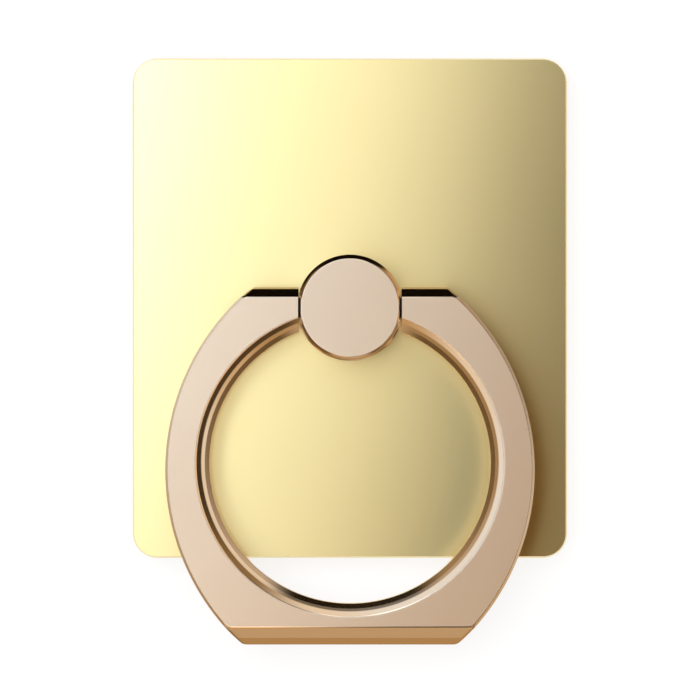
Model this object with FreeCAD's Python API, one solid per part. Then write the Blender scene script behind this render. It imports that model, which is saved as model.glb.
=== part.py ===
import FreeCAD, Part
import math
import os
from FreeCAD import Vector

# A ring holder for the back of a phone, stored with its ring folded flat towards -Y.
# All sizes are in millimetres. +Z points out of the plate's face, +Y at its top edge, +X to the right.
# The origin is where the swivel axis meets the sticky face of the adhesive pad.

# Base plate outline
plate_width = 34.8
plate_height = 40.0
plate_corner_radius = 2.0
plate_face_round = 0.2
web_thickness = 0.7

# Adhesive pad on the back of the plate
pad_thickness = 0.6
pad_rim = 0.9
pad_corner_radius = 1.5

# Pocket in the back of the plate, which holds the swivel's fixings, and the disc that closes it
pocket_radius = 4.5
cover_thickness = 0.2
cover_ledge = 0.7
cover_clearance = 0.05

# Hub: round button with two side flats, on a shank that turns in the plate
hub_radius = 4.2
hub_face_bevel = 0.33
hub_face_bevel_depth = 0.31
hub_foot_bevel = 0.15
hub_across_flats = 7.96
hub_proud_of_ring = 0.15
shank_radius = 2.0
swivel_clearance = 0.05

# Washers of the swivel, and the keyed end of the shank that the lowest one sits on
thrust_washer_thickness = 0.2
thrust_washer_width = 1.6
spring_working_height = 0.45
spring_strip = 0.2
spring_width = 1.5
spring_shank_clearance = 0.1
key_radius = 1.7
key_across_flats = 2.8
key_clearance = 0.03
keyed_washer_radius = 3.9
keyed_washer_thickness = 0.3
clamp_gap = 0.05

# Low-head screw into the shank
screw_radius = 1.0
screw_length = 2.2
screw_head_radius = 2.3
screw_head_height = 0.45
screw_head_bevel = 0.15
screw_head_clearance = 0.1
screw_hole_spare = 0.15
recess_span = 2.0
recess_slot = 0.45
recess_depth = 0.5

# Hinge across the hub
pin_radius = 0.8
pin_end_bevel = 0.15
pin_recess = 0.15
pin_clearance = 0.02
pin_hold = 2.0
pin_hole_spare = 0.2
sleeve_wall = 0.33
sleeve_slot = 0.4
sleeve_inset = 0.1
hinge_side_gap = 0.15

# Ring outline, measured from the hinge axis down to the foot
ring_thickness = 3.6
ring_lift = 0.5
ring_half_width = 14.6
ring_side_radius = 18.7
ring_widest_drop = 12.86
ring_end_rise = 1.63
ring_foot_drop = 26.69
ring_edge_bevel = 0.2
end_bevel_run = 0.8
end_bevel_depth = 0.8
mouth_flare = 0.05
mouth_flare_depth = 0.2
foot_bevel_run = 1.41
foot_bevel_depth = 1.2
bevel_edge_round = 0.25

# Finger hole of the ring. Its wall is a band with four bevels on each side, as (width, slope in degrees),
# from the ring's face inwards: each is steeper than the last, so that no edge presses on the finger.
finger_radius = 11.12
finger_hole_drop = 12.28
hole_bevels = [(0.51, 35), (0.22, 42), (0.22, 46.5), (0.14, 60)]

# Heights of the stack, from the sticky face upwards
plate_back_z = pad_thickness
cover_top_z = plate_back_z + cover_thickness
screw_head_z = cover_top_z + screw_head_clearance
keyed_washer_z = screw_head_z + screw_head_height
shank_shoulder_z = keyed_washer_z + keyed_washer_thickness
web_z = shank_shoulder_z + spring_working_height
plate_face_z = web_z + web_thickness
hub_foot_z = plate_face_z + thrust_washer_thickness
hinge_z = plate_face_z + ring_lift + ring_thickness / 2
hub_top_z = hinge_z + ring_thickness / 2 + hub_proud_of_ring

# Sizes shared by pieces that fit each other
hub_bore_radius = pin_radius + pin_clearance + sleeve_wall
ring_mouth = hub_across_flats / 2 + hinge_side_gap
bearing_radius = shank_radius + swivel_clearance
side_centre_offset = ring_side_radius - ring_half_width
pin_right_end = ring_mouth + pin_hold

up = Vector(0, 0, 1)
across = Vector(1, 0, 0)
origin = Vector(0, 0, 0)
margin = 1.0


def rounded_wire(corners):
    """Closed wire with straight sides through (point, radius) corners, each rounded to its radius."""
    arcs = []
    for i, (corner, radius) in enumerate(corners):
        to_last = (corners[i - 1][0] - corner).normalize()
        to_next = (corners[(i + 1) % len(corners)][0] - corner).normalize()
        half_angle = to_last.getAngle(to_next) / 2
        inward = (to_last + to_next).normalize()
        setback = radius / math.tan(half_angle)
        depth = radius / math.sin(half_angle) - radius
        arcs.append((corner + to_last * setback, corner + inward * depth, corner + to_next * setback))
    edges = []
    for i, (start, middle, end) in enumerate(arcs):
        edges.append(Part.Arc(start, middle, end).toShape())
        edges.append(Part.LineSegment(end, arcs[(i + 1) % len(arcs)][0]).toShape())
    return Part.Wire(edges)


def sharp_face(corners):
    """Flat face with straight sides through its corners."""
    return Part.Face(Part.makePolygon(corners + corners[:1]))


def turned(section):
    """Solid turned about the Z axis from the (radius, height) corners of its half section."""
    return sharp_face([Vector(r, 0, z) for r, z in section]).revolve(origin, up, 360)


def rounded_slab(width, height, corner_radius, bottom, thickness):
    """Flat slab with rounded corners, centred on the swivel axis."""
    x = width / 2
    y = height / 2
    points = [Vector(x, y, bottom), Vector(-x, y, bottom), Vector(-x, -y, bottom), Vector(x, -y, bottom)]
    wire = rounded_wire([(point, corner_radius) for point in points])
    return Part.Face(wire).extrude(up * thickness)


def flat_washer(inner_radius, outer_radius, bottom, thickness):
    disc = Part.makeCylinder(outer_radius, thickness, Vector(0, 0, bottom))
    return disc.cut(Part.makeCylinder(inner_radius, thickness, Vector(0, 0, bottom)))


def double_d(radius, across_flats, bottom, height):
    """Upright bar with two opposite flats, the shape that keys the lowest washer to the shank."""
    bar = Part.makeCylinder(radius, height, Vector(0, 0, bottom))
    corner = Vector(-across_flats / 2, -radius, bottom)
    return bar.common(Part.makeBox(across_flats, 2 * radius, height, corner))


def make_adhesive_pad():
    width = plate_width - 2 * pad_rim
    height = plate_height - 2 * pad_rim
    return rounded_slab(width, height, pad_corner_radius, 0, pad_thickness)


def make_base_plate():
    """Cast plate: rounded face edge, a shank hole through its web, and a stepped pocket in its back."""
    thickness = plate_face_z - plate_back_z
    plate = rounded_slab(plate_width, plate_height, plate_corner_radius, plate_back_z, thickness)
    rim = [edge for edge in plate.Edges if edge.BoundBox.ZMin > plate_face_z - plate_face_round]
    plate = plate.makeFillet(plate_face_round, rim)
    below = Vector(0, 0, plate_back_z - margin)
    ledge = Part.makeCylinder(pocket_radius + cover_ledge, cover_top_z - below.z, below)
    pocket = Part.makeCylinder(pocket_radius, web_z - below.z, below)
    bearing = Part.makeCylinder(bearing_radius, plate_face_z + margin - below.z, below)
    return plate.cut([ledge, pocket, bearing])


def make_recess_cover():
    radius = pocket_radius + cover_ledge - cover_clearance
    return Part.makeCylinder(radius, cover_thickness, Vector(0, 0, plate_back_z))


def make_swivel_washer():
    outer_radius = bearing_radius + thrust_washer_width
    return flat_washer(bearing_radius, outer_radius, plate_face_z, thrust_washer_thickness)


def make_spring_washer():
    """Dished washer: its inner edge rests on the keyed washer and its outer edge presses on the web."""
    inner = shank_radius + spring_shank_clearance
    outer = inner + spring_width
    return turned([
        (inner, shank_shoulder_z),
        (outer, web_z - spring_strip),
        (outer, web_z),
        (inner, shank_shoulder_z + spring_strip),
    ])


def make_retaining_washer():
    disc = Part.makeCylinder(keyed_washer_radius, keyed_washer_thickness, Vector(0, 0, keyed_washer_z))
    hole_radius = key_radius + key_clearance
    hole_flats = key_across_flats + 2 * key_clearance
    return disc.cut(double_d(hole_radius, hole_flats, keyed_washer_z, keyed_washer_thickness))


def make_hub():
    """Button and shank in one: side flats for the ring's ends, a cross bore, and a keyed, tapped end."""
    button = turned([
        (0, hub_foot_z),
        (hub_radius - hub_foot_bevel, hub_foot_z),
        (hub_radius, hub_foot_z + hub_foot_bevel),
        (hub_radius, hub_top_z - hub_face_bevel_depth),
        (hub_radius - hub_face_bevel, hub_top_z),
        (0, hub_top_z),
    ])
    corner = Vector(-hub_across_flats / 2, -hub_radius, hub_foot_z)
    button = button.common(Part.makeBox(hub_across_flats, 2 * hub_radius, hub_top_z - hub_foot_z, corner))
    shank_height = hub_foot_z - shank_shoulder_z
    shank = Part.makeCylinder(shank_radius, shank_height, Vector(0, 0, shank_shoulder_z))
    key_z = keyed_washer_z + clamp_gap
    key = double_d(key_radius, key_across_flats, key_z, shank_shoulder_z - key_z)
    start = Vector(-hub_radius, 0, hinge_z)
    cross_bore = Part.makeCylinder(hub_bore_radius, 2 * hub_radius, start, across)
    tapped_top = keyed_washer_z + screw_length + screw_hole_spare
    tapped_hole = Part.makeCylinder(screw_radius, tapped_top - key_z, Vector(0, 0, key_z))
    return button.fuse([shank, key]).cut([cross_bore, tapped_hole]).removeSplitter()


def make_hub_screw():
    """Low-head screw, head down, with a cross recess in its head."""
    body = turned([
        (0, screw_head_z),
        (screw_head_radius - screw_head_bevel, screw_head_z),
        (screw_head_radius, screw_head_z + screw_head_bevel),
        (screw_head_radius, keyed_washer_z),
        (screw_radius, keyed_washer_z),
        (screw_radius, keyed_washer_z + screw_length),
        (0, keyed_washer_z + screw_length),
    ])
    span = recess_span / 2
    slot = recess_slot / 2
    bottom = screw_head_z - margin
    depth = recess_depth + margin
    one_way = Part.makeBox(recess_span, recess_slot, depth, Vector(-span, -slot, bottom))
    other_way = Part.makeBox(recess_slot, recess_span, depth, Vector(-slot, -span, bottom))
    return body.cut([one_way, other_way])


def make_friction_sleeve():
    """Split spring-steel tube, pressed into the hub's cross bore, that grips the hinge pin."""
    length = hub_across_flats - 2 * sleeve_inset
    start = Vector(-length / 2, 0, hinge_z)
    tube = Part.makeCylinder(hub_bore_radius, length, start, across)
    inside = Part.makeCylinder(pin_radius + pin_clearance, length, start, across)
    slot_corner = start - Vector(0, sleeve_slot / 2, hub_bore_radius)
    slot = Part.makeBox(length, sleeve_slot, hub_bore_radius, slot_corner)
    return tube.cut([inside, slot])


def ring_flank(y):
    """Distance of the ring's bowed side from the middle line, at height y above the hinge axis."""
    rise = y + ring_widest_drop
    return math.sqrt(ring_side_radius ** 2 - rise ** 2) - side_centre_offset


def pin_left_end():
    """The pin's far end, just inside the slanting mouth of its hole in the ring's left flank."""
    return -(ring_flank(pin_radius) - pin_recess)


def make_hinge_pin():
    """Steel pin through both ends of the ring and the sleeve in the hub."""
    length = pin_right_end - pin_left_end()
    pin = Part.makeCylinder(pin_radius, length, Vector(pin_left_end(), 0, hinge_z), across)
    rims = [edge for edge in pin.Edges if isinstance(edge.Curve, Part.Circle)]
    return pin.makeChamfer(pin_end_bevel, rims)


def side_disc(side):
    """Disc whose rim is one bowed side of the ring: side is 1 for the right and -1 for the left."""
    half = ring_thickness / 2
    disc = turned([
        (0, -half),
        (ring_side_radius - ring_edge_bevel, -half),
        (ring_side_radius, ring_edge_bevel - half),
        (ring_side_radius, half - ring_edge_bevel),
        (ring_side_radius - ring_edge_bevel, half),
        (0, half),
    ])
    disc.translate(Vector(-side * side_centre_offset, -ring_widest_drop, 0))
    return disc


def ring_side_view():
    """Bar as wide as the ring whose section is the ring seen from the side, with end and foot bevels."""
    half = ring_thickness / 2
    end = ring_end_rise
    foot = -ring_foot_drop
    section = [
        (end - end_bevel_run, half),
        (end, half - end_bevel_depth),
        (end, end_bevel_depth - half),
        (end - end_bevel_run, -half),
        (foot + foot_bevel_run, -half),
        (foot, foot_bevel_depth - half),
        (foot, half - foot_bevel_depth),
        (foot + foot_bevel_run, half),
    ]
    wire = rounded_wire([(Vector(-ring_half_width, y, z), bevel_edge_round) for y, z in section])
    return Part.Face(wire).extrude(across * (2 * ring_half_width))


def finger_hole():
    """Turned cutter for the finger hole: a straight band between the bevels at both faces."""
    half = ring_thickness / 2
    radius = finger_radius + sum(width for width, slope in hole_bevels)
    height = half
    upper = [(0, half + margin), (radius, half + margin), (radius, half)]
    for width, slope in hole_bevels:
        radius -= width
        height -= width * math.tan(math.radians(slope))
        upper.append((radius, height))
    lower = [(r, -z) for r, z in reversed(upper)]
    cutter = turned(upper + lower)
    cutter.translate(Vector(0, -finger_hole_drop, 0))
    return cutter


def hub_gap():
    """Bar that opens the ring for the hub, slightly flared at both faces to break the ends' edges."""
    half = ring_thickness / 2
    near = ring_mouth
    far = ring_mouth + mouth_flare
    flare_z = half - mouth_flare_depth
    right = [(far, -half), (near, -flare_z), (near, flare_z), (far, half)]
    left = [(-x, z) for x, z in reversed(right)]
    section = sharp_face([Vector(x, -finger_hole_drop, z) for x, z in right + left])
    return section.extrude(Vector(0, finger_hole_drop + ring_end_rise + margin, 0))


def pin_holes():
    """Hole for the hinge pin: open through the ring's left flank and blind in its right end."""
    start = Vector(-ring_half_width, 0, 0)
    return Part.makeCylinder(pin_radius, ring_half_width + pin_right_end + pin_hole_spare, start, across)


def make_ring():
    """Ring in one cast piece: two bowed sides that meet, cut by the bevelled end and foot."""
    body = side_disc(1).common(side_disc(-1)).common(ring_side_view())
    ring = body.cut([finger_hole(), hub_gap(), pin_holes()]).removeSplitter()
    ring.translate(Vector(0, 0, hinge_z))
    return ring


pieces = {
    "adhesive_pad": make_adhesive_pad,
    "base_plate": make_base_plate,
    "recess_cover": make_recess_cover,
    "swivel_washer": make_swivel_washer,
    "spring_washer": make_spring_washer,
    "retaining_washer": make_retaining_washer,
    "hub": make_hub,
    "hub_screw": make_hub_screw,
    "friction_sleeve": make_friction_sleeve,
    "hinge_pin": make_hinge_pin,
    "ring": make_ring,
}

os.makedirs("parts", exist_ok=True)
for name, make in pieces.items():
    make().exportStep("parts/" + name + ".step")
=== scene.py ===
import math
import bmesh
import bpy
import numpy as np
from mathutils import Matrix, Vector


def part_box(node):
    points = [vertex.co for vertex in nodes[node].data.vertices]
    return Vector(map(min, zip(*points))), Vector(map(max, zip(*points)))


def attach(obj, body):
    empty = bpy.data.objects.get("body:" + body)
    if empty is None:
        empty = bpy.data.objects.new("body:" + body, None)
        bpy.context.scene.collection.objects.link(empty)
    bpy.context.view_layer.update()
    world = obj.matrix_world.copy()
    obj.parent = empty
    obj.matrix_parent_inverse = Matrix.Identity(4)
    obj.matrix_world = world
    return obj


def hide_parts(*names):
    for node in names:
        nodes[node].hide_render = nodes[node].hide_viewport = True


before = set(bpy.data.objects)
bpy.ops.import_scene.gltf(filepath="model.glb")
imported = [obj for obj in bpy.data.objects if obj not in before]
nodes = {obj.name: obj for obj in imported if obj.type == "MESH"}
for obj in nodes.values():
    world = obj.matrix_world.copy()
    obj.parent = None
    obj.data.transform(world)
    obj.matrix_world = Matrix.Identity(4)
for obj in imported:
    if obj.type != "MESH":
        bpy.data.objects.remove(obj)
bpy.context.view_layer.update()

# Sizes in millimetres. Outer sizes are read from the frame, the rest repeat the object's own design.
MM = 0.001


def box_mm(node):
    """Lowest and highest corner of a node's box, in millimetres."""
    low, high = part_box(node)
    return np.array(low) / MM, np.array(high) / MM


plate_low, plate_high = box_mm("base_plate")
ring_low, ring_high = box_mm("ring")
hub_low, hub_high = box_mm("hub")
pad_low, pad_high = box_mm("adhesive_pad")

# Base plate
plate_corner_radius = 2.0
plate_face_round = 0.2
plate_back_break = 0.06
bearing_radius = 2.05
pocket_radius = 4.5
cover_seat_radius = 5.2
cover_seat_depth = 0.2
web_thickness = 0.7

# Ring, seen from its hinge axis
ring_half_thickness = (ring_high[2] - ring_low[2]) / 2
hinge_z = (ring_high[2] + ring_low[2]) / 2
ring_half_width = ring_high[0]
ring_end_rise = ring_high[1]
ring_foot_drop = -ring_low[1]
ring_side_radius = 18.7
ring_widest_drop = 12.86
ring_mouth = 4.07
ring_mouth_flare = 0.04
ring_mouth_flare_depth = 0.2
side_bevel = [(0.2, 0.14)]
end_bevel = [(0.15, 0.24), (0.64, 0.64)]
foot_bevel = [(0.56, 0.512), (0.85, 0.688)]
side_edge_round, end_edge_round, foot_edge_round = 0.01, 0.06, 0.2
ring_corner_cut = 0.3
finger_radius = 11.12
finger_hole_drop = 12.28
hole_wall = ((0.03, 60), (0.36, 42.5), (0.27, 39), (0.43, 35))
hole_wall_rounds = (0.04, 0.05, 1.2, 2.2, 0.3)

# Hub
hub_radius = hub_high[1]
hub_half_flats = 3.98
hub_face_bevel = 0.33
hub_face_bevel_depth = 0.31
hub_foot_bevel = 0.15
hub_edge_round = 0.05
hub_foot_z = box_mm("swivel_washer")[1][2]
shank_radius = 2.0
shank_shoulder_z = 1.65
key_radius = 1.7
key_half_flats = 1.4
tapped_radius = 1.0
tapped_top_z = 3.7
hub_bore_radius = 1.15
pin_radius = 0.8
pin_hole_end = 6.33

# Adhesive pad
pad_corner_radius = 1.5
pad_edge_round = 0.12

# Distance from a rounding to the points that keep the flat beside it flat
face_hold = 0.03
bevel_hold = 0.01

# In metres: points closer than the first are welded, and edges shorter than the second are dropped
weld_distance, least_edge = 2e-7, 1e-7


def merged_mesh(name, grids, materials, sharp_angle=32.0):
    """Mesh from grids of points: each grid is (points, material index per row, wrap rows, wrap columns)."""
    points = []
    faces = []
    indices = []
    start = 0
    for grid, row_materials, wrap_rows, wrap_columns in grids:
        rows, columns = grid.shape[:2]
        index = np.arange(rows * columns).reshape(rows, columns) + start
        if wrap_rows:
            index = np.vstack([index, index[:1]])
        if wrap_columns:
            index = np.hstack([index, index[:, :1]])
        quads = np.stack([index[:-1, :-1], index[:-1, 1:], index[1:, 1:], index[1:, :-1]], axis=-1)
        chosen = np.broadcast_to(np.asarray(row_materials).reshape(-1, 1), quads.shape[:2])
        points.append(grid.reshape(-1, 3) * MM)
        faces.append(quads.reshape(-1, 4))
        indices.append(chosen.reshape(-1))
        start += rows * columns
    mesh = bpy.data.meshes.new(name)
    mesh.from_pydata(np.concatenate(points).tolist(), [], np.concatenate(faces).tolist())
    mesh.polygons.foreach_set("material_index", np.concatenate(indices).astype(np.int32))
    for material in materials:
        mesh.materials.append(material)
    piece = bmesh.new()
    piece.from_mesh(mesh)
    bmesh.ops.remove_doubles(piece, verts=piece.verts, dist=weld_distance)
    bmesh.ops.dissolve_degenerate(piece, edges=piece.edges, dist=least_edge)
    bmesh.ops.recalc_face_normals(piece, faces=piece.faces)
    piece.to_mesh(mesh)
    piece.free()
    mesh.shade_smooth()
    mesh.set_sharp_from_angle(angle=math.radians(sharp_angle))
    return mesh


def new_object(name, data):
    """Object made of the data and linked to the scene."""
    made = bpy.data.objects.new(name, data)
    bpy.context.scene.collection.objects.link(made)
    return made


def make_piece(mesh, body, replaced):
    """Object at the origin that rides on a body and stands for one node of the frame."""
    piece = new_object(mesh.name, mesh)
    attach(piece, body)
    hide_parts(replaced)
    return piece


drill_columns = 96


def drill(piece, start, end, radius):
    """Cuts a round hole along X, between two ends, through the piece, and applies the cut."""
    angle = np.linspace(0, 2 * np.pi, drill_columns + 1)[:-1]
    circle = np.stack([0 * angle, radius * np.cos(angle), radius * np.sin(angle) + hinge_z], axis=-1)
    axis = np.array([0.0, 0.0, hinge_z])
    rows = np.stack([
        np.broadcast_to(axis, circle.shape) + [start, 0, 0],
        circle + [start, 0, 0],
        circle + [end, 0, 0],
        np.broadcast_to(axis, circle.shape) + [end, 0, 0],
    ])
    cutter = new_object("drill", merged_mesh("drill", [(rows, [0] * 3, False, True)], []))
    cut = piece.modifiers.new("cross_hole", "BOOLEAN")
    cut.operation = "DIFFERENCE"
    cut.solver = "EXACT"
    cut.object = cutter
    bpy.context.view_layer.update()
    done = bpy.data.meshes.new_from_object(piece.evaluated_get(bpy.context.evaluated_depsgraph_get()))
    piece.modifiers.clear()
    done.name = piece.name
    piece.data = done
    bpy.data.objects.remove(cutter)


def fillet(corners, radius, steps=4, hold=0.0):
    """Line through corners in a plane, each inner corner rounded to its radius by an arc of some steps.

    With a hold, the straight parts get a point that far from each arc, so that they shade as flat.
    """
    corners = [np.array(corner, float) for corner in corners]
    radii = np.broadcast_to(radius, len(corners) - 2)
    line = [corners[0]]
    for before, corner, after, radius in zip(corners, corners[1:], corners[2:], radii):
        back = (before - corner) / np.linalg.norm(before - corner)
        ahead = (after - corner) / np.linalg.norm(after - corner)
        half_angle = math.acos(np.clip(back @ ahead, -1, 1)) / 2
        middle = (back + ahead) / np.linalg.norm(back + ahead)
        centre = corner + middle * radius / math.sin(half_angle)
        first = corner + back * radius / math.tan(half_angle) - centre
        sweep = math.pi - 2 * half_angle
        turn = math.copysign(1, first[0] * ahead[1] - first[1] * ahead[0])
        if hold:
            line.append(centre + first + back * hold)
        for part in np.linspace(0, sweep, steps + 1) * turn:
            cosine, sine = math.cos(part), math.sin(part)
            x, y = cosine * first[0] - sine * first[1], sine * first[0] + cosine * first[1]
            line.append(centre + np.array([x, y]))
        if hold:
            line.append(line[-1] + ahead * hold)
    line.append(corners[-1])
    return np.array(line)


def raised(plan, heights):
    """Rows of (x, y) points, with each row raised to its height."""
    z = np.broadcast_to(heights[:, None, None], plan.shape[:2] + (1,))
    return np.concatenate([plan, z], axis=-1)


def bevel_inset(facets, radius):
    """Line of (height, inset) for one bevelled edge: the inset grows facet by facet, from 0 to the run."""
    steps = np.cumsum([(depth, run) for run, depth in facets], axis=0)
    foot = ring_half_thickness - steps[-1, 0]
    corners = [(0, 0), (foot, 0), *(steps + [foot, 0]), (ring_half_thickness, steps[-1, 1] + 1)]
    return fillet(corners, radius, hold=bevel_hold)[:-2]


def ring_mouth_at(height):
    """Half the gap for the hub at a height from the ring's middle plane: it flares out at both faces."""
    share = (np.abs(height) - ring_half_thickness) / ring_mouth_flare_depth + 1
    return ring_mouth + ring_mouth_flare * np.maximum(0, share)


foot_columns, corner_columns, side_columns, end_columns = 16, 5, 92, 8


def outer_line(height, side_inset, foot_inset, end_inset):
    """Right half of the ring's outer line, a row per height, from the foot's middle to the hub's gap.

    Straight foot, side arc about a centre left of the middle, straight end. Where two of them meet,
    a quadratic curve cuts the corner off: (1-s)^2 A + 2 s (1-s) K + s^2 B.
    """
    radius = (ring_side_radius - side_inset)[:, None]
    offset = ring_side_radius - ring_half_width
    foot_y = (foot_inset - ring_foot_drop)[:, None]
    end_y = (ring_end_rise - end_inset)[:, None]
    foot_angle = np.arcsin((foot_y + ring_widest_drop) / radius)
    end_angle = np.arcsin((end_y + ring_widest_drop) / radius)
    cut = ring_corner_cut / radius

    def on_side(angle):
        x, y = radius * np.cos(angle) - offset, radius * np.sin(angle) - ring_widest_drop
        return np.stack([x, y], axis=-1)

    def rounded(a, k, b):
        s = np.linspace(0, 1, corner_columns + 1)[1:-1][None, :, None]
        return (1 - s) ** 2 * a + 2 * s * (1 - s) * k + s ** 2 * b

    foot_corner = on_side(foot_angle)
    end_corner = on_side(end_angle)
    foot_end = foot_corner - [ring_corner_cut, 0]
    end_start = end_corner - [ring_corner_cut, 0]
    share = np.linspace(0, 1, foot_columns)[None, :, None]
    foot_x = foot_end[..., :1] * share
    foot = np.concatenate([foot_x, np.broadcast_to(foot_y[..., None], foot_x.shape)], axis=-1)
    sweep = np.linspace(0, 1, side_columns)[None, :]
    side = on_side(foot_angle + cut + (end_angle - foot_angle - 2 * cut) * sweep)
    share = np.linspace(0, 1, end_columns)[None, :, None]
    mouth = ring_mouth_at(height)[:, None, None]
    end_x = end_start[..., :1] + (mouth - end_start[..., :1]) * share
    end = np.concatenate([end_x, np.broadcast_to(end_y[..., None], end_x.shape)], axis=-1)
    foot_turn = rounded(foot_end, foot_corner, side[:, :1])
    end_turn = rounded(side[:, -1:], end_corner, end_start)
    return np.concatenate([foot, foot_turn, side, end_turn, end], axis=1)


def inner_line(height, radius, guide):
    """Right half of the finger hole's line, a row per height: an arc whose columns face the guide's."""
    centre_y = -finger_hole_drop
    angle = np.arctan2(guide[:, 0], centre_y - guide[:, 1])
    limit = np.pi - np.arcsin(ring_mouth_at(height) / radius)
    start = angle[-end_columns]
    past = np.clip((np.arange(len(angle)) - (len(angle) - end_columns)) / (end_columns - 1), 0, 1)
    angle = np.where(past > 0, start, angle)[None, :] + past[None, :] * (limit[:, None] - start)
    return np.stack([radius[:, None] * np.sin(angle), centre_y - radius[:, None] * np.cos(angle)], axis=-1)


def ring_mesh(face_finish, edge_finish):
    """The ring as one closed section carried round from one end to the other.

    Section, from the middle of the hole's wall upwards: a straight band, four bevels, the flat face,
    and the outer wall with its own bevel at the foot, the sides and the ends. The other half mirrors it.
    """
    half = ring_half_thickness
    widths, slopes = np.array(hole_wall).T
    radii = finger_radius + np.concatenate([[0], np.cumsum(widths)])
    climbs = np.concatenate([[0], np.cumsum(widths * np.tan(np.radians(slopes)))])
    corners = [(0.0, finger_radius), *zip(climbs + half - climbs[-1], radii), (half, radii[-1] + 1)]
    inner = fillet(corners, hole_wall_rounds, hold=bevel_hold)[:-2]
    side = bevel_inset(side_bevel, side_edge_round)
    foot = bevel_inset(foot_bevel, foot_edge_round)
    end = bevel_inset(end_bevel, end_edge_round)
    heights = np.unique(np.round(np.concatenate([side[:, 0], foot[:, 0], end[:, 0]]), 5))[::-1]
    insets = [np.interp(heights, line[:, 0], line[:, 1]) for line in (side, foot, end)]
    outer_rows = outer_line(heights, *insets)
    inner_rows = inner_line(inner[:, 0], inner[:, 1], outer_rows[-1])
    share = np.array([0.008, 0.1, 0.3, 0.5, 0.7, 0.9, 0.992])[:, None, None]
    face_rows = inner_rows[-1:] * (1 - share) + outer_rows[:1] * share
    plan = np.concatenate([inner_rows, face_rows, outer_rows])
    z = np.concatenate([inner[:, 0], np.full(len(share), half), heights])
    plan = np.concatenate([plan[:, :0:-1] * [-1, 1], plan], axis=1)
    upper = raised(plan, z)
    lower = upper[-2:0:-1] * [1, 1, -1]
    # The face's finish takes in all but the first facet of the rounding at the hole's edge.
    rounding_rows = 4
    is_face = np.zeros(len(z), int)
    is_face[len(inner) - rounding_rows:len(inner) + len(share) - 1] = 1
    row_finish = np.concatenate([1 - is_face, (1 - is_face)[-2::-1]])[:len(upper) + len(lower)]
    loop = np.concatenate([upper, lower])
    grids = [(loop, row_finish, True, False)]
    flare_start = (half - ring_mouth_flare_depth) / half
    across = np.array([1, flare_start, 0.5, 0, -0.5, -flare_start, -1])
    for column in (0, -1):
        edge = upper[:, column]
        cap_z = edge[:, 2:3] * across[None, :]
        cap_x = np.sign(edge[0, 0]) * ring_mouth_at(cap_z)
        cap = np.stack([cap_x, np.broadcast_to(edge[:, 1:2], cap_z.shape), cap_z], axis=-1)
        grids.append((cap, np.ones(len(cap) - 1, int), False, False))
    for points, *_ in grids:
        points[..., 2] += hinge_z
    return merged_mesh("finger_ring", grids, [face_finish, edge_finish])


# Limit that is wider than any radius, for rows without flats
no_flat = 99.0


def turned_rows(section, flats, columns=288):
    """Rows of a turned surface from (radius, height, limit) points: a limit cuts both X sides off flat."""
    angle = np.linspace(0, 2 * np.pi, columns + 1)[:-1]
    radius = section[:, 0:1] * np.ones_like(angle)[None, :]
    least_cosine = 1e-6
    limit = flats[:, None] / np.maximum(np.abs(np.cos(angle))[None, :], least_cosine)
    radius = np.minimum(radius, limit)
    height = section[:, 1:2] * np.ones_like(angle)[None, :]
    return np.stack([radius * np.cos(angle), radius * np.sin(angle), height], axis=-1)


def hub_mesh(face_finish, edge_finish):
    """Button and shank turned from one half section, with two flats on the button and two on the key."""
    top = hub_high[2]
    button = fillet([
        (shank_radius, hub_foot_z),
        (hub_radius - hub_foot_bevel, hub_foot_z),
        (hub_radius, hub_foot_z + hub_foot_bevel),
        (hub_radius, top - hub_face_bevel_depth),
        (hub_radius - hub_face_bevel, top),
        (0.6 * hub_radius, top),
    ], hub_edge_round)
    near_edge = button[-2] - [face_hold, 0]
    button = np.vstack([button[:-1], near_edge, button[-1:], [(0.0, top)]])
    shank = np.array([
        (0.0, tapped_top_z),
        (tapped_radius, tapped_top_z),
        (tapped_radius, hub_low[2]),
        (key_radius, hub_low[2]),
        (key_radius, shank_shoulder_z),
        (shank_radius, shank_shoulder_z),
    ])
    section = np.concatenate([shank, button])
    flats = np.full(len(section), no_flat)
    key_rows = slice(3, 5)
    flats[key_rows] = key_half_flats
    flats[len(shank):] = hub_half_flats
    face_rows = 3
    row_finish = np.ones(len(section) - 1, int)
    row_finish[-face_rows:] = 0
    rows = turned_rows(section, flats)
    return merged_mesh("hub_button", [(rows, row_finish, False, True)], [face_finish, edge_finish])


def rounded_rectangle(half_width, half_height, corner_radius, inset, side=22, corner=12):
    """Closed line of a rectangle with arcs at its corners, a row per inset, from the right middle."""
    inset = np.asarray(inset, float)[:, None]
    angle = np.linspace(0, np.pi / 2, corner + 1)[None, :]
    least_radius = 0.05
    radius = np.maximum(corner_radius - inset, least_radius)
    x = half_width - inset - radius + radius * np.cos(angle)
    y = half_height - inset - radius + radius * np.sin(angle)
    share = np.linspace(0, 1, side + 1)[None, :]
    up, back = share[:, :-1], 1 - share[:, 1:]
    rise = np.stack([x[:, :1] * np.ones_like(up), y[:, :1] * up], axis=-1)
    run = np.stack([x[:, -1:] * back, y[:, -1:] * np.ones_like(up)], axis=-1)
    quarter = np.concatenate([rise, np.stack([x, y], axis=-1), run], axis=1)
    left = quarter[:, -2:0:-1] * [-1, 1]
    top = np.concatenate([quarter, left], axis=1)
    bottom = np.concatenate([quarter[:, -1:] * [1, -1], quarter[:, -2:0:-1] * [1, -1]], axis=1)
    west = quarter[:, :1] * [-1, 1]
    return np.concatenate([top, west, quarter[:, 1:-1] * [-1, -1], bottom], axis=1)


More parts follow.
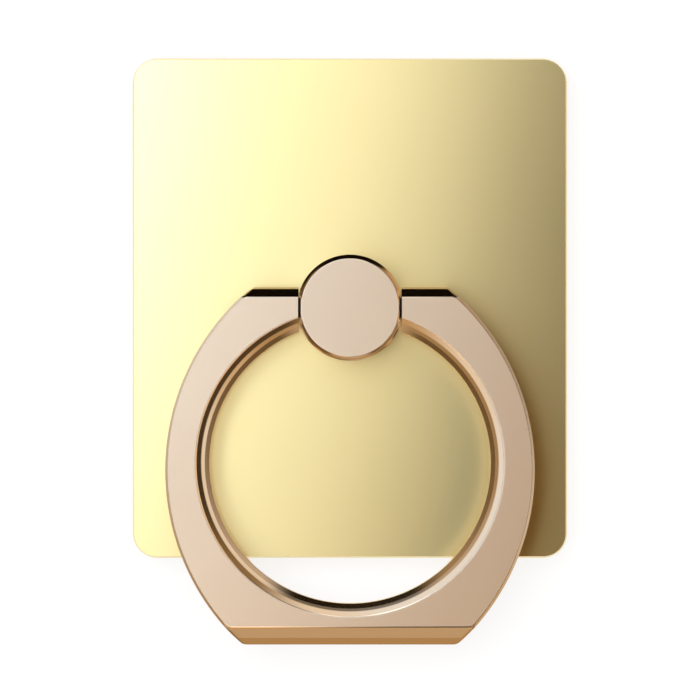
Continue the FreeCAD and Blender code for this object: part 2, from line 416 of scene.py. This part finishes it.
def plate_rows(half_width, half_height, corner_radius, section):
    """Rows between a circle and a rounded rectangle, from (share of rectangle, radius, inset, height)."""
    section = np.array(section, float)
    rectangle = rounded_rectangle(half_width, half_height, corner_radius, section[:, 2])
    direction = rectangle[:1] / np.linalg.norm(rectangle[:1], axis=-1, keepdims=True)
    circle = direction * section[:, 1][:, None, None]
    share = section[:, 0][:, None, None]
    return raised(circle * (1 - share) + rectangle * share, section[:, 3])


def plate_mesh(surface):
    """Base plate: its face runs from the shank hole out to the rim, its back in to the stepped pocket."""
    face_z, back_z = plate_high[2], plate_low[2]
    web_z = face_z - web_thickness
    seat_z = back_z + cover_seat_depth
    rim = plate_face_round
    edge = np.concatenate([
        fillet([(2 * rim, face_z), (0, face_z), (0, back_z + 1)], rim, 8)[1:-1],
        fillet([(0, back_z + 1), (0, back_z), (1, back_z)], plate_back_break, 3)[1:-1],
    ])
    shares = (0, 0.05, 0.2, 0.4, 0.6, 0.8, 0.97, 1)
    face = [(share, bearing_radius, rim + face_hold, face_z) for share in shares]
    outside = [(1, 0, inset, z) for inset, z in edge]
    back_inset = 0.1
    back = [(share, cover_seat_radius, back_inset, back_z) for share in (1, 0.6, 0.2, 0)]
    steps = [
        (cover_seat_radius, seat_z), (pocket_radius, seat_z),
        (pocket_radius, web_z), (bearing_radius, web_z)]
    pocket = [(0, radius, 0, z) for radius, z in steps]
    rows = plate_rows(plate_high[0], plate_high[1], plate_corner_radius, face + outside + back + pocket)
    return merged_mesh("gold_plate", [(rows, [0] * len(rows), True, True)], [surface])


def pad_mesh(surface):
    """Adhesive pad: a slab of foam whose cut edge is slightly rounded."""
    top, bottom = pad_high[2], pad_low[2]
    upper = fillet([(1, top), (0, top), (0, (top + bottom) / 2)], pad_edge_round)[1:-1]
    lower = upper[::-1] * [1, -1] + [0, top + bottom]
    flat_inset, shares = 0.2, (0, 0.3, 0.7, 1)
    section = [(share, 0, flat_inset, top) for share in shares]
    section += [(1, 0, inset, z) for inset, z in np.concatenate([upper, lower])]
    section += [(share, 0, flat_inset, bottom) for share in shares[::-1]]
    rows = plate_rows(pad_high[0], pad_high[1], pad_corner_radius, section)
    return merged_mesh("foam_pad", [(rows, [0] * (len(rows) - 1), False, True)], [surface])


# Materials. Colours are sRGB hex values.
def linear(hex_color, level=1.0):
    """Linear RGBA of an sRGB hex colour, times a level."""
    values = [int(hex_color[i:i + 2], 16) / 255 for i in (1, 3, 5)]
    values = [v / 12.92 if v <= 0.04045 else ((v + 0.055) / 1.055) ** 2.4 for v in values]
    return (*(level * v for v in values), 1.0)


def add_node(tree, kind, inputs=None, **settings):
    """Adds one node with its settings. An input is a value, or another node's output to link from."""
    node = tree.nodes.new(kind)
    for name, value in settings.items():
        setattr(node, name, value)
    for key, value in (inputs or {}).items():
        if isinstance(value, bpy.types.NodeSocket):
            tree.links.new(value, node.inputs[key])
        else:
            node.inputs[key].default_value = value
    return node


# Sockets of a Mix node that mixes colours.
MIX_SHARE, MIX_FIRST, MIX_SECOND, MIX_RESULT = 0, 6, 7, 2


def new_material(name):
    """Empty node material, its tree, and the place on the object that its patterns read."""
    material = bpy.data.materials.new(name)
    material.use_nodes = True
    tree = material.node_tree
    tree.nodes.clear()
    return material, tree, add_node(tree, "ShaderNodeTexCoord").outputs["Object"]


def finish_material(tree, shader):
    """Leads a shader to the material's output."""
    add_node(tree, "ShaderNodeOutputMaterial", {"Surface": shader.outputs[0]})


def clouded(tree, place, cloud_mm, color, other, roughness, spread):
    """Two close colours and a wandering roughness, both following the same slow clouds."""
    clouds = add_node(tree, "ShaderNodeTexNoise", {
        "Vector": place, "Scale": 1 / (cloud_mm * MM), "Detail": 2.0})
    tint = add_node(tree, "ShaderNodeMix", {
        MIX_SHARE: clouds.outputs["Fac"],
        MIX_FIRST: linear(color), MIX_SECOND: linear(other)}, data_type="RGBA")
    wander = add_node(tree, "ShaderNodeMapRange", {
        "Value": clouds.outputs["Fac"], "To Min": roughness - spread, "To Max": roughness + spread})
    return tint.outputs[MIX_RESULT], wander.outputs["Result"]


def relief(tree, height, depth_mm):
    """Surface normal from a height pattern whose full depth is given."""
    bump = add_node(tree, "ShaderNodeBump", {"Height": height, "Strength": 1.0, "Distance": depth_mm * MM})
    return bump.outputs["Normal"]


# Width of the slow clouds in colour and gloss, which are too faint to see as shapes.
cloud_width_mm = 9.0


def surface_finish(name, color, other, roughness, spread, grain_mm, grain_depth_mm,
                   metal=1.0, drawn=(1, 1, 1), cells=False, extra=None):
    """Real finish: clouded colour and gloss, with a fine grain, drawn lines or foam cells in relief."""
    material, tree, place = new_material(name)
    tint, gloss = clouded(tree, place, cloud_width_mm, color, other, roughness, spread)
    stretched = add_node(tree, "ShaderNodeVectorMath", {0: place, 1: drawn}, operation="MULTIPLY")
    grain = {"Vector": stretched.outputs["Vector"], "Scale": 1 / (grain_mm * MM)}
    if cells:
        height = add_node(tree, "ShaderNodeTexVoronoi", grain).outputs["Distance"]
    else:
        height = add_node(tree, "ShaderNodeTexNoise", {**grain, "Detail": 2.0}).outputs["Fac"]
    inputs = {
        "Base Color": tint, "Metallic": metal, "Roughness": gloss,
        "Normal": relief(tree, height, grain_depth_mm)}
    finish_material(tree, add_node(tree, "ShaderNodeBsdfPrincipled", {**inputs, **(extra or {})}))
    return material


# Metal grain and drawn lines are really finer than a pixel, so they are drawn coarser, to show a little.
# The foam's cells have about their real size.

# Fine blasted satin under rose gold plating: the flat faces take light softly, with no sharp reflections.
rose_face = surface_finish("satin_rose_gold_plating", "#ecdac4", "#e8d5be", 0.6, 0.02, 0.12, 0.0015)
# The same plating over bevels and walls that were polished: near mirrors that draw dark and light lines.
rose_edge = surface_finish("polished_rose_gold_plating", "#ecdac4", "#e9d6c0", 0.1, 0.01, 0.4, 0.0002)
# Pale gold plating over a buffed casting: a soft mirror that turns the room into one long gradient.
gold = surface_finish("polished_pale_gold_plating", "#f7e4a7", "#f6e2a4", 0.37, 0.01, 0.5, 0.0003)
# Grey acrylic foam: matt, a little see-through at its cut edge, with fine cells.
foam = surface_finish(
    "grey_acrylic_foam", "#c9cac8", "#bcbdb9", 0.85, 0.05, 0.14, 0.02, metal=0.0, cells=True, extra={
        "Subsurface Weight": 0.35, "Subsurface Radius": (0.6, 0.6, 0.55), "Subsurface Scale": MM})
# Thin black polyester film: smooth and evenly dark, with a slight shine.
film = surface_finish("black_polyester_film", "#1e1e20", "#252527", 0.38, 0.04, 0.6, 0.001, metal=0.0)
# Moulded nylon: waxy off-white that lets a little light in.
nylon = surface_finish(
    "moulded_white_nylon", "#e6e6df", "#dddcd3", 0.48, 0.04, 0.3, 0.002, metal=0.0, extra={
        "Subsurface Weight": 0.25, "Subsurface Radius": (0.4, 0.4, 0.35), "Subsurface Scale": MM})
# Hardened steel strip: dark grey with lines from rolling along its length.
spring_steel = surface_finish(
    "rolled_spring_steel", "#85858b", "#77777c", 0.32, 0.06, 0.06, 0.002, drawn=(0.08, 1, 1))
# Bright zinc plating: silvery with faint blue clouds.
zinc = surface_finish("bright_zinc_plating", "#cdcfcf", "#bcc2cc", 0.3, 0.08, 0.25, 0.001)
# Steel pin with turning lines round it. Its warm dark grey is painted shade: it stands for the shade in the
# narrow gap between the ring and the hub, where the pin shows.
pin_painted_shade = surface_finish(
    "pin_steel_painted_shade", "#5c5046", "#4c4037", 0.4, 0.06, 0.08, 0.001, drawn=(1, 0.1, 0.1))

# The pin's hole is open only at the ring's left flank, and the hub's bore goes right through.
past_ring, past_hub = 30.0, 10.0
ring = make_piece(ring_mesh(rose_face, rose_edge), "ring", "ring")
drill(ring, -past_ring, pin_hole_end, pin_radius)
hub = make_piece(hub_mesh(rose_face, rose_edge), "swivel", "hub")
drill(hub, -past_hub, past_hub, hub_bore_radius)
make_piece(plate_mesh(gold), "base", "base_plate")
make_piece(pad_mesh(foam), "base", "adhesive_pad")

# The pieces that keep the frame's own meshes. The hinge pin's dark grey is painted shade for the narrow gap
# that it crosses.
kept_nodes = {
    "recess_cover": film, "swivel_washer": nylon, "spring_washer": spring_steel, "retaining_washer": zinc,
    "hub_screw": zinc, "friction_sleeve": spring_steel, "hinge_pin": pin_painted_shade}
for name, material in kept_nodes.items():
    nodes[name].data.materials.clear()
    nodes[name].data.materials.append(material)


# Stage: a white floor with a lamp, and a drum with a low ceiling that only the metal's reflections see.
# Sizes in millimetres. A layer of the drum blends into the next from its own top to the next one's foot.
floor_half = 3000.0
floor_gap = 0.02
floor_grey = 0.28
floor_glow = 0.76
drum_radius = 220.0
drum_height = 200.0
drum_columns, drum_rows = 96, 8
skirting_top = 22.0
groove_foot = 24.0
groove_top = 34.0
horizon_foot = 41.0
horizon_top = 66.0
softbox_foot = 85.0
softbox_top = 125.0
upper_foot = 150.0
flag_inner = 28.0
flag_height = 0.05
ceiling_middle = 0.01
ceiling_radius = 74.0
ceiling_height = 60.0


def stage_grid(name, rows, material):
    """Backdrop piece from a grid of points in millimetres."""
    mesh = merged_mesh(name, [(rows, [0] * (len(rows) - 1), False, False)], [material])
    backdrop = new_object(name, mesh)
    return backdrop


def seen_background(tree):
    """1 for the rays by which the camera, a reflection or clear glass sees the background, else 0."""
    path = add_node(tree, "ShaderNodeLightPath")
    first = add_node(tree, "ShaderNodeMath", {
        0: path.outputs["Is Camera Ray"], 1: path.outputs["Is Glossy Ray"]}, operation="MAXIMUM")
    both = add_node(tree, "ShaderNodeMath", {
        0: first.outputs[0], 1: path.outputs["Is Transmission Ray"]}, operation="MAXIMUM")
    return both.outputs[0]


def floor_material():
    """Floor that is lit partly by the lamp, so that it shows a shadow, and glows up to white."""
    material, tree = new_material("white_floor")[:2]
    seen_glow = add_node(tree, "ShaderNodeMath", {
        0: seen_background(tree), 1: floor_glow}, operation="MULTIPLY")
    finish_material(tree, add_node(tree, "ShaderNodeBsdfPrincipled", {
        "Base Color": (floor_grey, floor_grey, floor_grey, 1), "Roughness": 1.0, "Specular IOR Level": 0.0,
        "Emission Color": (1, 1, 1, 1), "Emission Strength": seen_glow.outputs[0]}))
    return material


def color_ramp(tree, position, stops, start, end):
    """Smooth ramp through (place, colour, level) stops, over places from start to end."""
    share = add_node(tree, "ShaderNodeMapRange", {"Value": position, "From Min": start, "From Max": end})
    ramp = add_node(tree, "ShaderNodeValToRGB", {"Fac": share.outputs["Result"]})
    ramp.color_ramp.interpolation = "EASE"
    while len(ramp.color_ramp.elements) < len(stops):
        ramp.color_ramp.elements.new(0.5)
    for element, (stop, color, level) in zip(ramp.color_ramp.elements, stops):
        element.position = (stop - start) / (end - start)
        element.color = linear(color, level / card_strength)
    return ramp.outputs["Color"]


def glow(tree, color):
    """Makes the material shine with a colour."""
    finish_material(tree, add_node(tree, "ShaderNodeEmission", {"Color": color, "Strength": card_strength}))


def along(tree, place, direction):
    """Distance in millimetres along a direction."""
    scaled = tuple(part / MM for part in direction)
    distance = add_node(tree, "ShaderNodeVectorMath", {0: place, 1: scaled}, operation="DOT_PRODUCT")
    return distance.outputs["Value"]


def compass(tree, place):
    """Direction round the object in degrees: 0 is +X, 90 is +Y."""
    axes = add_node(tree, "ShaderNodeSeparateXYZ", {0: place})
    turn = add_node(tree, "ShaderNodeMath", {
        0: axes.outputs["Y"], 1: axes.outputs["X"]}, operation="ARCTAN2")
    degrees = add_node(tree, "ShaderNodeMath", {0: turn.outputs[0], 1: 180 / math.pi}, operation="MULTIPLY")
    return degrees.outputs[0]


def drum_material():
    """Round the object the drum has a skirting, a groove, a horizon, softboxes and upper lights."""
    material, tree, place = new_material("studio_drum")
    direction = compass(tree, place)
    height = along(tree, place, (0, 0, 1))
    color = color_ramp(tree, direction, skirting_stops, -180, 180)
    layers = [
        (groove_stops, skirting_top, groove_foot), (horizon_stops, groove_top, horizon_foot),
        (softbox_stops, horizon_top, softbox_foot), (upper_stops, softbox_top, upper_foot)]
    for stops, low, high in layers:
        share = add_node(tree, "ShaderNodeMapRange", {
            "Value": height, "From Min": low, "From Max": high}, interpolation_type="SMOOTHSTEP")
        mixed = add_node(tree, "ShaderNodeMix", {
            MIX_SHARE: share.outputs["Result"], MIX_FIRST: color,
            MIX_SECOND: color_ramp(tree, direction, stops, -180, 180)}, data_type="RGBA")
        color = mixed.outputs[MIX_RESULT]
    glow(tree, color)
    return material


def ceiling_material():
    """Ceiling light as the product of two ramps: one along its leaning run, and one down the picture."""
    material, tree, place = new_material("graded_ceiling")
    edges = (-ceiling_radius, ceiling_radius)
    right = color_ramp(tree, along(tree, place, ceiling_run), ceiling_stops, *edges)
    down = color_ramp(tree, along(tree, place, (0, 1, 0)), ceiling_down_stops, *edges)
    both = add_node(tree, "ShaderNodeVectorMath", {0: right, 1: down}, operation="MULTIPLY")
    scaled = add_node(tree, "ShaderNodeVectorMath", {
        0: both.outputs["Vector"], "Scale": card_strength}, operation="SCALE")
    glow(tree, scaled.outputs["Vector"])
    return material


# Light levels. A colour ramp holds no more than 1, so it holds levels as shares of the card strength.
card_strength = 4.5
white, cool, sky = "#ffffff", "#e6f2ff", "#c6deff"
pale, tan, brown, dark = "#fff0dc", "#ffdcae", "#ffcf90", "#ffca86"
# Drum, from the floor up: (compass direction, colour, level).
skirting_stops = [
    (-180, dark, 0.12), (-125, dark, 0.12), (-95, brown, 0.5), (-20, brown, 0.5), (0, brown, 0.65),
    (40, brown, 0.65), (54, dark, 0.005), (148, dark, 0.005), (160, dark, 0.12), (180, dark, 0.15)]
groove_stops = [
    (-180, dark, 0.15), (-118, dark, 0.15), (-108, tan, 0.6), (-72, tan, 0.6), (-62, dark, 0.1),
    (0, brown, 0.15), (45, brown, 0.3), (60, dark, 0.005), (120, dark, 0.005), (140, brown, 0.3),
    (165, dark, 0.15)]
horizon_stops = [
    (-180, brown, 0.42), (-115, brown, 0.42), (-105, tan, 0.62), (-75, tan, 0.62), (-62, brown, 0.5),
    (-42, tan, 0.75), (-12, pale, 1.0), (50, pale, 1.0), (66, dark, 0.02), (115, dark, 0.03),
    (135, tan, 0.5), (155, tan, 0.5), (180, brown, 0.42)]
softbox_stops = [
    (-180, white, 0.98), (-140, pale, 0.95), (-105, brown, 0.6), (-80, brown, 0.6), (-66, dark, 0.08),
    (5, dark, 0.04), (45, brown, 0.3), (75, pale, 0.95), (110, white, 0.98), (180, white, 0.98)]
upper_stops = [
    (-180, sky, 0.3), (-130, brown, 0.26), (-90, brown, 0.55), (-55, tan, 1.4), (-30, tan, 1.9),
    (25, tan, 1.6), (60, tan, 0.45), (100, brown, 0.0), (180, sky, 0.3)]
# Ceiling: (millimetres from its middle, colour, level), along a run that leans towards the foot.
ceiling_tilt = math.radians(10.6)
ceiling_run = (math.cos(ceiling_tilt), -math.sin(ceiling_tilt), 0)
ceiling_stops = [
    (-74, sky, 0.6), (-62, sky, 1.5), (-46, sky, 1.0), (-28, cool, 4.05), (-13, cool, 1.0),
    (0, white, 1.7), (12, cool, 0.0), (43, cool, 0.0), (58, brown, 2.25), (74, brown, 1.9)]
ceiling_down_stops = [
    (-74, brown, 1.1), (-48, brown, 1.1), (-34, white, 0.8), (18, white, 1.0), (74, white, 1.0)]

sides = (-floor_half, floor_half)
floor_points = np.array([[(x, y, -floor_gap) for x in sides] for y in sides])
stage_grid("floor", floor_points, floor_material())
# Each card is a circle's points, (cos, sin, 0), times its radii and raised to its heights.
turn = np.linspace(-np.pi, np.pi, drum_columns + 1)
circle = np.stack([np.cos(turn), np.sin(turn), np.zeros_like(turn)], axis=-1)
up = np.array([0.0, 0.0, 1.0])
drum = drum_material()
drum_wall = np.stack([circle * drum_radius + up * z for z in np.linspace(0, drum_height, drum_rows + 1)])
flag = np.stack([circle * radius + up * flag_height for radius in (flag_inner, drum_radius)])
ceiling = np.stack([circle * radius + up * ceiling_height for radius in (ceiling_middle, ceiling_radius)])
cards = [
    stage_grid("studio_drum", drum_wall, drum),
    stage_grid("floor_flag", flag, drum),
    stage_grid("graded_ceiling", ceiling, ceiling_material()),
]
for card in cards:
    card.visible_camera = False
    card.visible_diffuse = False
    card.visible_shadow = False
    card.visible_transmission = False
    card.visible_volume_scatter = False

# Soft lamp up and to the left. Reflections don't see it: it gives the floor its faint shadow.
lamp_data = bpy.data.lights.new("soft_lamp", "AREA")
lamp_data.shape = "RECTANGLE"
lamp_data.size = lamp_data.size_y = 0.6
lamp_data.energy = 2.8
lamp = new_object("soft_lamp", lamp_data)
lamp.location = (-0.15, 0.1, 0.7)
lamp.rotation_euler = (math.radians(-8), math.radians(-12), 0)
lamp.visible_glossy = False
lamp.visible_camera = False

# Room light: white where the background is seen, and dimmer in the light that it gives.
world = bpy.data.worlds.new("studio")
bpy.context.scene.world = world
world.use_nodes = True
world.node_tree.nodes.clear()
seen = seen_background(world.node_tree)
room_light, white_light = 0.6, 1.0
level = add_node(world.node_tree, "ShaderNodeMapRange", {
    "Value": seen, "To Min": room_light, "To Max": white_light})
backdrop = add_node(world.node_tree, "ShaderNodeBackground", {
    "Color": (1, 1, 1, 1), "Strength": level.outputs["Result"]})
add_node(world.node_tree, "ShaderNodeOutputWorld", {"Surface": backdrop.outputs[0]})

# Camera: straight above the plate, with +Y up in the picture.
picture_px = 700
pixels_per_mm = 12.54
camera_height = 450.0
middle_drop = 3.35
camera_data = bpy.data.cameras.new("camera")
camera_data.sensor_width = 36.0
camera_data.lens = pixels_per_mm * (camera_height - plate_high[2]) * camera_data.sensor_width / picture_px
camera_data.clip_start = 0.01
camera_data.clip_end = 50
camera = new_object("camera", camera_data)
camera.location = (0, -middle_drop * MM, camera_height * MM)
bpy.context.scene.camera = camera
bpy.context.scene.view_settings.view_transform = "Standard"
